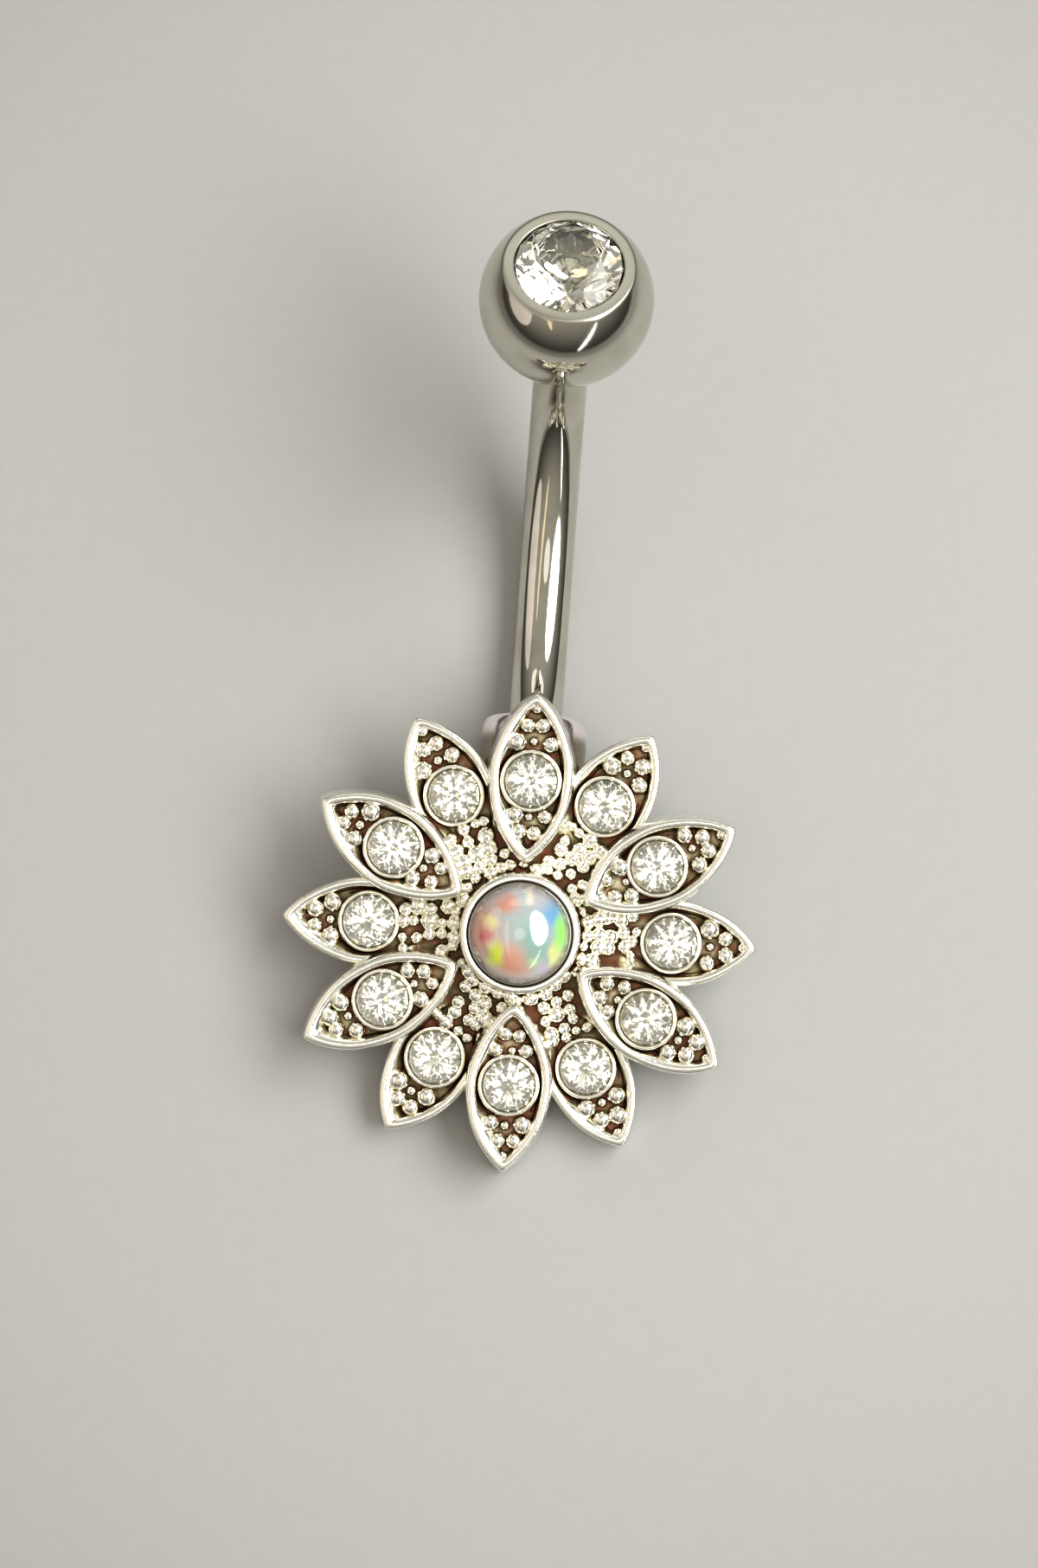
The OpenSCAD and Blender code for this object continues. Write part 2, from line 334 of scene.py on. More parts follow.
# %% A wire that can be calculated with
def feed(tree, socket, value):
    """Links a wire to a socket, or writes a plain value into it."""
    if isinstance(value, Wire):
        tree.links.new(value.socket, socket)
    else:
        socket.default_value = value


class Wire:
    """A socket of a finish. Arithmetic on it adds Math nodes, and step adds a Map Range."""

    def __init__(self, tree, socket):
        self.tree = tree
        self.socket = socket

    def math(self, operation, *values):
        """One Math node on wires and plain numbers."""
        node = self.tree.nodes.new("ShaderNodeMath")
        node.operation = operation
        for socket, value in zip(node.inputs, values):
            feed(self.tree, socket, value)
        return Wire(self.tree, node.outputs[0])

    def __add__(self, other):
        return self.math("ADD", self, other)

    __radd__ = __add__

    def __sub__(self, other):
        return self.math("SUBTRACT", self, other)

    def __rsub__(self, other):
        return self.math("SUBTRACT", other, self)

    def __mul__(self, other):
        return self.math("MULTIPLY", self, other)

    __rmul__ = __mul__

    def step(self, low, high):
        """0 below low, 1 above high, smooth between."""
        node = self.tree.nodes.new("ShaderNodeMapRange")
        node.interpolation_type = "SMOOTHSTEP"
        for name, value in (("Value", self), ("From Min", low), ("From Max", high)):
            feed(self.tree, node.inputs[name], value)
        return Wire(self.tree, node.outputs[0])


# %% A finish and its nodes
class Finish:
    """A new material, or the room that is its owner, and the one way to add a node to it."""

    def __init__(self, name, owner=None):
        self.material = owner or bpy.data.materials.new(name)
        self.material.use_nodes = True
        self.tree = self.material.node_tree
        self.tree.nodes.clear()

    def node(self, kind, settings=None, inputs=None, out=0):
        """Adds a node, sets its settings first and then its sockets, and gives one output."""
        node = self.tree.nodes.new("ShaderNode" + kind)
        for name, value in (settings or {}).items():
            setattr(node, name, value)
        for name, value in (inputs or {}).items():
            feed(self.tree, node.inputs[name], value)
        return Wire(self.tree, node.outputs[out]) if node.outputs else None

    def place(self):
        """The point's place on the table, in metres."""
        return self.node("TexCoord", out="Object")

    def noise(self, size_mm, detail=3, where=None):
        """Soft noise whose blotches are about so many millimetres wide."""
        return self.node("TexNoise", inputs={
            "Vector": where or self.place(), "Scale": 1 / (size_mm * MM), "Detail": detail})

    def vector(self, operation, first, second):
        """The operation on two vectors."""
        return self.node("VectorMath", {"operation": operation}, {0: first, 1: second})

    def length(self, vector):
        """The length of a vector."""
        return self.node("VectorMath", {"operation": "LENGTH"}, {0: vector}, out="Value")

    def mix(self, share, first, second):
        """The first colour where the share is 0, the second where it is 1."""
        sides = {0: share}
        for socket, colour in ((6, first), (7, second)):
            sides[socket] = colour if isinstance(colour, Wire) else (*colour, 1)
        return self.node("Mix", {"data_type": "RGBA"}, sides, out=2)

    def bump(self, height, rise_mm):
        """A normal that rises so many millimetres where the height is 1."""
        return self.node("Bump", inputs={"Height": height, "Distance": rise_mm * MM})

    def surface(self, **sockets):
        """The Principled shader, its sockets named with _ for a space, and the output."""
        inputs = {name.replace("_", " "): value for name, value in sockets.items()}
        shader = self.node("BsdfPrincipled", inputs=inputs)
        self.node("OutputMaterial", inputs={"Surface": shader})
        print(self.material.name, "has", len(self.tree.nodes), "nodes")
        return self.material


# %% [markdown]
# ## Polished steel
# Surgical steel for piercings is buffed until it mirrors the room. A perfect mirror looks
# like a drawing, though: real steel has a faint waviness from the buffing wheel, hairline
# scratches, and a film from fingers that dulls it in soft blotches. The flat rim round the
# ball's crystal stays as the lathe left it, so it is duller still.

# %% Steel of the bar and the ball
CLEAN_STEEL = (0.60, 0.585, 0.51)
FILMED_STEEL = (0.50, 0.485, 0.42)
TURNED_STEEL = (0.42, 0.415, 0.36)
HAIR_STRETCH = (1, 0.07, 0.07)


def polished_steel():
    """Film and rim dull the steel. The hairs are noise drawn out along Y and Z."""
    finish = Finish("polished_steel")
    unbuffed = finish.node("Attribute", {"attribute_name": "hollow"}, out="Fac")
    film = finish.noise(1.4, detail=4).step(0.42, 0.72)
    hairs = finish.noise(0.05, detail=2, where=finish.vector(
        "MULTIPLY", finish.place(), HAIR_STRETCH))
    wave = finish.noise(2.2, detail=1)
    colour = finish.mix(film, CLEAN_STEEL, FILMED_STEEL)
    return finish.surface(
        Base_Color=finish.mix(unbuffed, colour, TURNED_STEEL), Metallic=1.0,
        Roughness=0.035 + film * 0.05 + hairs * 0.03 + unbuffed * 0.25,
        Normal=finish.bump(wave + hairs * 0.015, 0.02))


STEEL = polished_steel()

# %% [markdown]
# ## Plated casting
# The flower is cast in brass, plated bright and left with a dark patina in its hollows, where
# polishing doesn't reach, and painted shade darkens those hollows further. The edges stay almost
# white, the flanks of the grains turn golden with tarnish and painted shade, and the ground
# between them is dark with patina and painted shade, olive in one spot and red-brown in the
# next. The barrel is pinkish at its end and painted darker towards the petals, as their shade.
# It could all be painted by height, but the hollow value of the mesh knows the hollows better,
# an Ambient Occlusion node paints shade into the shut-in corners, and noise keeps the border
# between bright and dark uneven.

# %% Casting of the flower
BRIGHT_PLATE = (0.95, 0.94, 0.86)
GOLDEN_FLANK = (0.74, 0.66, 0.40)
OLIVE_GROUND = (0.085, 0.062, 0.028)
RED_GROUND = (0.15, 0.050, 0.028)
# The barrel's pale end and its side, which is painted dark as the petals' shade
BARREL_RIM = (0.95, 0.89, 0.87)
BARREL_SHADED_SIDE = (0.25, 0.22, 0.17)
CORNER_REACH = 0.35


def plated_casting():
    """Tarnish and soot, each part patina and part painted shade, are the hollow value, stronger
    where the Ambient Occlusion finds the surface shut in, plus a share of the blotches, each with
    its own threshold. On the barrel the colour is a painted shade from its end to its side."""
    finish = Finish("plated_casting")
    hollow = finish.node("Attribute", {"attribute_name": "hollow"}, out="Fac")
    # Painted shade: the Ambient Occlusion darkens tarnish and soot where the surface is shut in
    open_sky = finish.node("AmbientOcclusion", {"samples": 8, "only_local": True},
                           {"Distance": CORNER_REACH * MM}, out="AO")
    blotch = finish.noise(0.45, detail=3)
    skin = finish.noise(0.16, detail=2)
    # Tarnish and soot are part patina, part painted shade of the hollows and the grains' feet
    tarnish_and_shade = (hollow * (1.35 - open_sky) + (blotch - 0.5) * 0.45).step(0.20, 0.70)
    soot_and_shade = (hollow * (1.2 - open_sky) + (blotch - 0.5) * 0.3).step(0.45, 0.70)
    barrel = hollow.step(1.5, 2.0)
    ground = finish.mix(blotch.step(0.40, 0.60), OLIVE_GROUND, RED_GROUND)
    colour = finish.mix(soot_and_shade, finish.mix(tarnish_and_shade, BRIGHT_PLATE, GOLDEN_FLANK), ground)
    # Painted shade: the barrel turns from its pale end to a dark side under the petals
    barrel_shade = finish.mix(hollow.step(2.0, 3.0), BARREL_RIM, BARREL_SHADED_SIDE)
    return finish.surface(
        Base_Color=finish.mix(barrel, colour, barrel_shade), Metallic=1.0,
        Roughness=0.17 + tarnish_and_shade * 0.12 + soot_and_shade * 0.2 - barrel * 0.25,
        Normal=finish.bump(skin * 0.3 + blotch * 0.7, 0.02))


CASTING = plated_casting()

# %% [markdown]
# ## Crystal
# The clear stones are cut glass. Glass needs light from many sides more than it needs a
# complicated finish, so this one is dense glass that is a little smoky in places, with a
# hint of grease. Its facets are a trifle wavy, as pressed glass is, so that no two stones
# sparkle alike.

# %% Glass of the cut stones
SMOKY_GLASS = (0.60, 0.62, 0.58)
WARM_GLASS = (0.96, 0.93, 0.85)


def crystal():
    """Glass whose tint, gloss and flatness change from stone to stone."""
    finish = Finish("crystal")
    grease = finish.noise(0.6, detail=2)
    cloud = finish.noise(0.4, detail=2).step(0.40, 0.60)
    return finish.surface(
        Base_Color=finish.mix(cloud, SMOKY_GLASS, WARM_GLASS),
        Roughness=grease.step(0.45, 0.8) * 0.03,
        Normal=finish.bump(finish.noise(1.0, detail=0), 0.03),
        Transmission_Weight=1.0, IOR=1.6)


CRYSTAL = crystal()

# %% [markdown]
# ## Opal
# An opal is milky, and patches inside it flash in pure colours. The patches are laid one by one
# as soft spots on the face of the stone, in the stone's own frame, and noise bends their edges.
# A clear coat over them gives the polished dome its wet shine.
# Near its rim the stone is painted darker as shade, and its colour glows faintly as painted light.

# %% Colours of the opal
SCREEN_POWER = 2.2
LESS_LIGHT = 0.84


def screen_colour(red, green, blue):
    """The linear colour of a screen colour: each share of 255 to the screen's power, and then
    a little less, because the window lights the opal's face more than a plain white."""
    return tuple(LESS_LIGHT * (np.array([red, green, blue]) / 255) ** SCREEN_POWER)


OPAL_SPOTS = [
    # right, up, half width, half height (shares of the radius), screen colour, strength
    (-0.74, -0.08, 0.40, 0.62, (228, 162, 142), 0.90),
    (-0.06, -0.60, 0.42, 0.42, (232, 160, 132), 0.90),
    (-0.26, 0.50, 0.26, 0.19, (228, 150, 126), 0.90),
    (-0.59, -0.11, 0.14, 0.16, (210, 100, 94), 0.90),
    (-0.53, 0.13, 0.18, 0.13, (238, 236, 150), 0.85),
    (-0.38, -0.48, 0.17, 0.27, (230, 246, 74), 1.00),
    (0.34, -0.20, 0.34, 0.44, (124, 178, 164), 0.80),
    (0.62, 0.34, 0.26, 0.30, (112, 172, 218), 0.95),
    (0.38, -0.62, 0.15, 0.16, (184, 236, 152), 0.80),
    (0.84, -0.02, 0.15, 0.46, (158, 240, 104), 0.95),
    (0.74, -0.46, 0.15, 0.26, (236, 240, 140), 0.85),
    (0.56, -0.72, 0.22, 0.16, (204, 186, 216), 0.85),
    (0.20, 0.66, 0.09, 0.20, (248, 234, 206), 0.90),
]
OPAL_GROUND = [(168, 188, 186), (194, 192, 198)]
OPAL_RIM_SHADE = (74, 62, 40)
print("patches in the opal:", len(OPAL_SPOTS))

# %% Lay the patches in the opal
OPAL_SWAY = (0.35, 0.35, 0)
# How far the sway alone carries the patches, which are laid that much further on
SWAY_SHIFT = (0.12, 0.26)


def opal_stone():
    """The face is the place in the stone's own frame, in shares of its radius. A patch is
    laid where the face, bent by the sway, is near its middle: the smooth step of
    1 - |(face - middle) / (half width, half height)|."""
    finish = Finish("opal")
    radius = OPAL_D / 2 * MM
    centre = on_table([0, 0, OPAL_BASE]) / radius
    back = np.array([[1, 0, 0], [0, cos(TILT), sin(TILT)], [0, -sin(TILT), cos(TILT)]])
    face = finish.node("Mapping", inputs={
        "Vector": finish.place(), "Location": tuple(-back @ centre),
        "Rotation": (-TILT, 0, 0), "Scale": (1 / radius,) * 3})
    sway = finish.node("TexNoise", inputs={"Vector": face, "Scale": 2.6, "Detail": 3}, out="Color")
    bent = finish.vector("ADD", finish.vector("MULTIPLY", sway, OPAL_SWAY), face)
    clouds = finish.node("TexNoise", inputs={"Vector": face, "Scale": 1.8, "Detail": 4})
    blue, grey = (screen_colour(*tone) for tone in OPAL_GROUND)
    colour = finish.mix(clouds.step(0.35, 0.65), blue, grey)
    for right, up, half_w, half_h, glow, strength in OPAL_SPOTS:
        away = finish.vector("SUBTRACT", bent, (right + SWAY_SHIFT[0], up + SWAY_SHIFT[1], 0))
        reach = finish.length(finish.vector("MULTIPLY", away, (1 / half_w, 1 / half_h, 0)))
        patch = (1 - reach).step(-0.4, 0.85) * strength
        colour = finish.mix(patch, colour, screen_colour(*glow))
    # Painted shade: the colour darkens towards the rim, where the band shades the stone
    outward = finish.length(finish.vector("MULTIPLY", face, (1, 1, 0)))
    colour = finish.mix(outward.step(0.80, 0.98) * 0.9, colour, screen_colour(*OPAL_RIM_SHADE))
    # Painted light: the colour also glows faintly as emission
    return finish.surface(
        Base_Color=colour, Roughness=0.12 + clouds * 0.1, IOR=1.45,
        Coat_Weight=1.0, Coat_Roughness=0.02, Coat_IOR=1.8,
        Emission_Color=colour, Emission_Strength=0.06)


OPAL = opal_stone()

# %% [markdown]
# ## Petals
# Each petal is a pointed leaf between two arcs, with a raised edge, a sunken floor and, in
# the floor, a collar and a conical seat for its crystal. It could be cut from blocks, but
# then every corner would be sharp. Here one grid does it: its rings start below the leaf,
# climb the side, round the edge, go down to the floor, change from a leaf to a circle on
# the way inwards, climb over the collar and end at the point of the seat. The wall inside
# the edge leans like a moulded one, broad on one side, which catches the window's light.

# %% The outline of a leaf
TIP_SOFTNESS = 0.03


def arc_radius(width):
    """The radius of the two arcs of a leaf: (length^2 + width^2) / (4 width)."""
    return (PETAL_LEN ** 2 + width ** 2) / (4 * width)


def leaf_reach(width, inset, angle):
    """Distance from a leaf's middle to its outline, drawn in by an inset. The leaf lies in two
    discs of radius R whose centres are e = R - width / 2 to either side, so the distance is
    sqrt((R - inset)^2 - e^2 sin^2) - e |cos|. A small number under the root that stands for
    |cos| blunts the tips."""
    arc_r = arc_radius(width)
    off = arc_r - width / 2
    across = np.sqrt(np.cos(angle) ** 2 + TIP_SOFTNESS ** 2)
    inside = (arc_r - inset) ** 2 - (off * np.sin(angle)) ** 2
    return np.sqrt(np.maximum(inside, 0)) - off * across


side_and_tip = leaf_reach(UPPER_W, 0, np.array([0, pi / 2])).round(2)
print("an upper petal reaches", side_and_tip, "mm to its side and to its tip")

# %% The profile of a petal
SEAT_R = STONE_D / 2 + GAP
COLLAR_R = SEAT_R + COLLAR_W
COLLAR_TOP = STONE_LIFT + GIRDLE * STONE_D + LIP
CONE_TIP_R = 0.02
FLOOR_HOLLOW = 0.95
# The radii of the bends at the profiles' corners
EDGE_BENDS = [0, 0.05, 0.06, 0.12, 0.12, 0.07, 0]
SEAT_BENDS = [0, 0.03, 0.04, 0.02, 0.02, 0.03, 0]


def edge_profile(width, base_z, top_z, floor_z, spread):
    """From under the leaf's middle, up its side, over its raised edge and down to the floor:
    (inset, height, hollow)."""
    corners = [
        (0.46 * width, base_z, 0.55), (0.12, base_z, 0.55), (-spread, base_z, 0.5),
        (0.0, top_z, 0.0), (RIM_W, top_z, 0.0),
        (RIM_W + 0.04, floor_z, 1.0), (RIM_W + 0.16, floor_z, FLOOR_HOLLOW)]
    return denser(rounded(corners, EDGE_BENDS, steps=6), 0.25)


def seat_profile(floor_z):
    """From the floor over the collar and down to the point of the seat:
    (radius, height, hollow). The seat's wall gets a hollow value over 1, which paints a dark line
    of shade between the collar and the stone."""
    point = (PAVILION + POINT_ROOM) * STONE_D
    top, bottom = floor_z + COLLAR_TOP, floor_z + STONE_LIFT
    corners = [
        (COLLAR_R + 0.05, floor_z, FLOOR_HOLLOW), (COLLAR_R + 0.01, floor_z, 0.9),
        (COLLAR_R - 0.01, top, 0.7), (SEAT_R + 0.03, top + 0.005, 0.7),
        (SEAT_R, top - 0.05, 1.1), (SEAT_R, bottom, 1.1), (CONE_TIP_R, bottom - point, 0.3)]
    return denser(rounded(corners, SEAT_BENDS, steps=4), 0.3)


print("rings over a collar and down its seat:", len(seat_profile(UPPER_FLOOR)))

# %% The lean of a petal's inner wall
STEEP_LEAN = 0.04
BROAD_LEAN = 0.30
# The bearing of the broad walls from the middle of their petals, and how squarely a wall has
# to lie on that side (the cosine of the angle between them) to get the whole lean
BROAD_SIDE = radians(205)
FULLY_FACING = 0.9
TURN_AT_TIP = 6
COLLAR_ROOM = 0.04


def smooth(value, low, high):
    """0 below low, 1 above high, smooth between."""
    t = np.clip((value - low) / (high - low), 0, 1)
    return t * t * (3 - 2 * t)


def wall_lean(width, angle, place):
    """How far the foot of a petal's inner wall runs out over the floor: far on the broad side,
    where the wall faces the window, little on the other, and never into the stone's collar.
    The way out of a leaf is (reach cos + side, reach sin) / R, where side is e or -e and
    changes its sign quickly at the tips."""
    arc_r = arc_radius(width)
    reach = leaf_reach(width, RIM_W, angle)
    side = np.tanh(TURN_AT_TIP * np.cos(angle)) * (arc_r - width / 2)
    bearing = BROAD_SIDE + place * 2 * pi / PETALS
    facing = ((reach * np.cos(angle) + side) * cos(bearing)
              + reach * np.sin(angle) * sin(bearing)) / arc_r
    lean = STEEP_LEAN + (BROAD_LEAN - STEEP_LEAN) * smooth(facing, 0, FULLY_FACING)
    return np.clip(reach - COLLAR_R - COLLAR_ROOM, 0, lean)


wall = wall_lean(UPPER_W, np.radians([120, 240, 300, 60]), 0).round(2)
print("the top petal's wall leans at its upper left and on to its upper right by", wall)

# %% The grid of a petal
PETAL_COLUMNS = 88
FLOOR_ROWS = 4
TIP_CROWDING = 0.35
# Waves round a petal and their size, and how far above and below the floor they are felt
WOBBLES = [(2, 0.012), (5, 0.008)]
WOBBLE_REACH = 0.4
dice = np.random.default_rng(7)
print("a petal's edge strays by at most", sum(size for waves, size in WOBBLES), "mm")


def petal_grid(width, base_z, top_z, floor_z, spread, place):
    """Rings of a petal that points along Y. The angle t + c sin 2t runs slower near the tips,
    where the outline turns fast. A wobble of a few waves makes the edge a little uneven. The
    floor's rings mix the last ring of the leaf with the first ring of the collar."""
    t = np.linspace(0, 2 * pi, PETAL_COLUMNS, endpoint=False)
    angle = t + TIP_CROWDING * np.sin(2 * t)
    way = np.stack([np.cos(angle), np.sin(angle)], axis=-1)
    edge = edge_profile(width, base_z, top_z, floor_z, spread)
    seat = seat_profile(floor_z)
    wobble = sum(size * np.sin(waves * angle + dice.uniform(0, 6.3)) for waves, size in WOBBLES)
    inset = edge[:, :1] + wobble * np.isclose(edge[:, 1:2], floor_z, atol=WOBBLE_REACH)
    inner_side = np.arange(len(edge))[:, None] > np.argmin(edge[:, 2])
    sunk = np.clip((top_z - edge[:, 1:2]) / (top_z - floor_z), 0, 1) * inner_side
    inset = inset + sunk * wall_lean(width, angle, place)
    inset = np.minimum(inset, NEARLY_HALF * width)
    outline = np.array([0, PETAL_MID]) + leaf_reach(width, inset, angle)[..., None] * way
    rings = np.array([0, PETAL_MID - STONE_IN]) + seat[:, :1, None] * way
    share = np.linspace(0, 1, FLOOR_ROWS + 2)[1:-1].reshape(-1, 1, 1)
    floor = (1 - share) * outline[-1:] + share * rings[:1]
    flat = np.concatenate([outline, floor, rings])
    floor_column = np.tile([[floor_z, FLOOR_HOLLOW]], (FLOOR_ROWS, 1))
    column = np.concatenate([edge[:, 1:], floor_column, seat[:, 1:]])
    height, hollow = np.repeat(column.T[..., None], PETAL_COLUMNS, axis=2)
    return np.concatenate([flat, height[..., None]], axis=-1), hollow


# %% Sink an edge into the hub and turn a petal to its place
# Where the lower petals' edges sink into the hub, and the hollow value of the ground there,
# which darkens it with patina and painted shade
FADE_FROM = HUB_R - 0.05
FADE_WIDTH = 0.5
HUB_HOLLOW = 1.2


def faded(grid, hollow, floor_z):
    """Lets a petal's edge sink into its floor on the side of the opal. The share that is kept
    of the height above the floor is a smooth step of the distance from the flower's middle.
    The collar and the seat, which are the last rings, keep their height."""
    height = grid[..., 2]
    keep = smooth(np.hypot(grid[..., 0], grid[..., 1]), FADE_FROM, FADE_FROM + FADE_WIDTH)
    keep[-len(seat_profile(floor_z)):] = 1
    height = np.where(height > floor_z, floor_z + (height - floor_z) * keep, height)
    hollow = np.where(np.isclose(keep, 1), hollow, hollow + (HUB_HOLLOW - hollow) * (1 - keep))
    return np.concatenate([grid[..., :2], height[..., None]], axis=-1), hollow


def turned(points, places):
    """Turns points clockwise about Z by each place, counted in steps of one petal."""
    angle = np.reshape(places, (-1,) + (1,) * (points.ndim - 1)) * 2 * pi / PETALS
    x, y, z = np.moveaxis(points, -1, 0)
    x, y = x * np.cos(angle) + y * np.sin(angle), y * np.cos(angle) - x * np.sin(angle)
    return np.stack([x, y, np.broadcast_to(z, x.shape)], axis=-1)


print("the tip of the second upper petal:", turned(np.array([0, TIP_R, 0]), [1]).round(2))

# %% Lower and upper petals
UPPER_PLACES = np.arange(PETALS)
LOWER_PLACES = np.arange(PETALS) + 0.5


def tier(places, fades, **petal):
    """One petal for each place, each with its own slight unevenness."""
    shells = []
    for place in places:
        grid, hollow = petal_grid(place=place, **petal)
        if fades:
            grid, hollow = faded(grid, hollow, petal["floor_z"])
        shells.append(shell(turned(grid, [place])[0], hollow))
    return shells


flower_shells = tier(
    LOWER_PLACES, True, width=LOWER_W, base_z=0.0, top_z=LOWER_H, floor_z=LOWER_FLOOR,
    spread=0.0)
flower_shells += tier(
    UPPER_PLACES, False, width=UPPER_W, base_z=UPPER_TOP - UPPER_T, top_z=UPPER_TOP,
    floor_z=UPPER_FLOOR, spread=SIDE_SLOPE)
print("petals:", len(flower_shells), "with", len(flower_shells[0][0]), "points each")

# %% [markdown]
# ## Grains
# The floor of each petal carries raised grains in pairs, which look like tiny set stones
# from afar, and smaller ones crowd the ground round the opal. There are more than two
# hundred, so each is a dome of a few dozen faces. They could be copies of an object, but as
# one array they join the casting: the same dome, scaled and set down at each place.

# %% Places of the petals' grains
# Pairs of grains: share of the half length from the petal's middle outward, share of the
# half width, and girth in millimetres
PAIRS = np.array([
    [0.41, 0.39, 0.58], [0.61, 0.18, 0.52], [-0.43, 0.36, 0.52], [-0.62, 0.18, 0.45]])
# Single grains on the axis, written the same way
SINGLES = [[0.81, 0.0, 0.34], [0.43, 0.0, 0.30], [-0.44, 0.0, 0.28]]
# How high a grain's middle stands on its floor, as a share of its girth
GRAIN_RISE = 0.18


def grain_places(width, floor_z, places, pairs, singles):
    """Places and girths of a whole tier's grains."""
    both = [np.concatenate([pairs * [1, side, 1] for side in (-1, 1)]), np.array(singles)]
    share = np.concatenate(both)
    spots = np.stack([share[:, 1] * width / 2, PETAL_MID + share[:, 0] * PETAL_LEN / 2,
                      floor_z + GRAIN_RISE * share[:, 2]], axis=1)
    return turned(spots, places).reshape(-1, 3), np.tile(share[:, 2], len(places))


print("grains on an upper petal:", 2 * len(PAIRS) + len(SINGLES))

# %% The form of a grain
# The rises of its rings in degrees, and those between which its foot, painted dark as shade,
# turns bright
GRAIN_ANGLES = [-30, -4, 22, 48, 74]
SHADED_FOOT_TO_TOP = [-20, 55]
GRAIN_COLUMNS = 12


def grain_shell():
    """A ball of radius 1 cut off below: radius cos(rise), height sin(rise). Its foot is a
    hollow, which the casting paints dark as shade, and its top an edge."""
    rise = np.radians(GRAIN_ANGLES)
    grid = revolved(np.stack([np.cos(rise), np.sin(rise)], axis=1), GRAIN_COLUMNS)
    return shell(grid, np.interp(rise, np.radians(SHADED_FOOT_TO_TOP), [1.1, 0.0]))


grain = grain_shell()
print("faces of a grain:", len(grain[1]) + len(grain[2]))

# %% Fill the hub
# Rings of small grains that fill the hub between the upper petals: radius, and room for each
# grain. The swell makes a grain wider than its room, so that neighbours grow together.
HUB_RINGS = [(1.93, 0.36), (2.27, 0.40), (2.64, 0.42), (3.02, 0.42), (3.36, 0.36)]
HUB_SWELL = 1.22
PETAL_CLEARANCE = 0.1


def hub_places():
    """Evenly spaced places on each ring, without those that an upper petal covers."""
    spots, girths = [], []
    for radius, girth in HUB_RINGS:
        count = int(2 * pi * radius / girth)
        angle = (np.arange(count) + dice.uniform(0, 1)) * 2 * pi / count
        nearest = (angle + pi / PETALS) % (2 * pi / PETALS) - pi / PETALS
        x, y = radius * np.sin(nearest), radius * np.cos(nearest) - PETAL_MID
        clear = np.hypot(x, y) > leaf_reach(UPPER_W, -PETAL_CLEARANCE, np.arctan2(y, x))
        level = np.full(count, LOWER_FLOOR)
        ring = np.stack([radius * np.sin(angle), radius * np.cos(angle), level], axis=1)
        spots.append(ring[clear])
        girths.append(np.full(clear.sum(), girth * HUB_SWELL))
    return np.concatenate(spots) + [0, 0, GRAIN_RISE * GRAIN_D], np.concatenate(girths)


hub_spots, hub_girths = hub_places()
print("grains in the hub:", len(hub_spots))

# %% Put all the grains down
# How far grains stray in millimetres, in the petals and in the hub, and how much more their
# girth does, in shares
STRAY = [0.04, 0.09]
GIRTH_STRAY = 3


def copies(one, moved):
    """Repeats a shell at each of the moved sets of its points, an array (copies, points, 3)."""
    points, quads, fans, depth = one
    steps = len(points) * np.arange(len(moved)).reshape(-1, 1, 1)
    return (moved.reshape(-1, 3), (quads + steps).reshape(-1, 4), (fans + steps).reshape(-1, 3),
            np.tile(depth, len(moved)))


outer_pairs = PAIRS[PAIRS[:, 0] > 0]
outer_singles = SINGLES[:2]
groups = [grain_places(LOWER_W, LOWER_FLOOR, LOWER_PLACES, outer_pairs, outer_singles),
          grain_places(UPPER_W, UPPER_FLOOR, UPPER_PLACES, PAIRS, SINGLES),
          (hub_spots, hub_girths)]
spots = np.concatenate([group[0] for group in groups])
girths = np.concatenate([group[1] for group in groups])
stray = np.repeat(STRAY, [len(spots) - len(hub_spots), len(hub_spots)])
spots = spots + stray[:, None] * dice.uniform(-1, 1, spots.shape) * [1, 1, 0.5]
girths = girths * (1 + GIRTH_STRAY * stray * dice.uniform(-1, 1, len(spots)))
flower_shells.append(copies(grain, spots[:, None] + girths.reshape(-1, 1, 1) / 2 * grain[0]))
print("grains:", len(spots))

# %% [markdown]
# ## Disc and opal band
# A disc behind the petals holds them together, and a band stands in its middle round the
# opal. Both are round, so each is a profile of radius, height and hollow value, carried
# round the flower's axis.

# %% Turn the disc and the band
# A profile ends this far from its axis, and a fan of triangles closes what is left
AXIS_R = 0.01
ROUND_COLUMNS = 96
FINE_COLUMNS = 128
DISC_TOP = LOWER_FLOOR - 0.01
BAND_FOOT = LOWER_FLOOR - 0.2
POCKET_R = OPAL_D / 2 + GAP

disc_profile = denser(rounded([
    (AXIS_R, 0.0, 0.5), (BASE_R, 0.0, 0.5), (BASE_R, DISC_TOP, HUB_HOLLOW),
    (AXIS_R, DISC_TOP, HUB_HOLLOW)], [0, 0.08, 0.08, 0]), 0.4)
flower_shells.append(shell(revolved(disc_profile, ROUND_COLUMNS), disc_profile[:, 2]))

band_profile = denser(rounded([
    (AXIS_R, BAND_FOOT, 0.5), (BAND_R, BAND_FOOT, 0.9), (BAND_R + 0.03, LOWER_FLOOR + 0.25, 0.8),
    (BAND_R, BAND_TOP - 0.3, 0.25), (BAND_R, BAND_TOP, 0.0), (POCKET_R, BAND_TOP, 0.0),
    (POCKET_R, OPAL_BASE, 0.9), (AXIS_R, OPAL_BASE, 0.9)],
    [0, 0, 0.1, 0.1, 0.15, 0.04, 0.05, 0]), 0.15)
flower_shells.append(shell(revolved(band_profile, FINE_COLUMNS), band_profile[:, 2]))
print("disc across in mm:", 2 * BASE_R, "band across in mm:", round(2 * BAND_R, 2))

# %% [markdown]
# ## Barrel
# Behind the top petal a short barrel is cast on, and the bar is pressed into its end. The
# grid runs over the barrel's back and side, changes on its end face from a circle to the
# outline of the slanting hole, and goes down the hole along the bend of the bar.

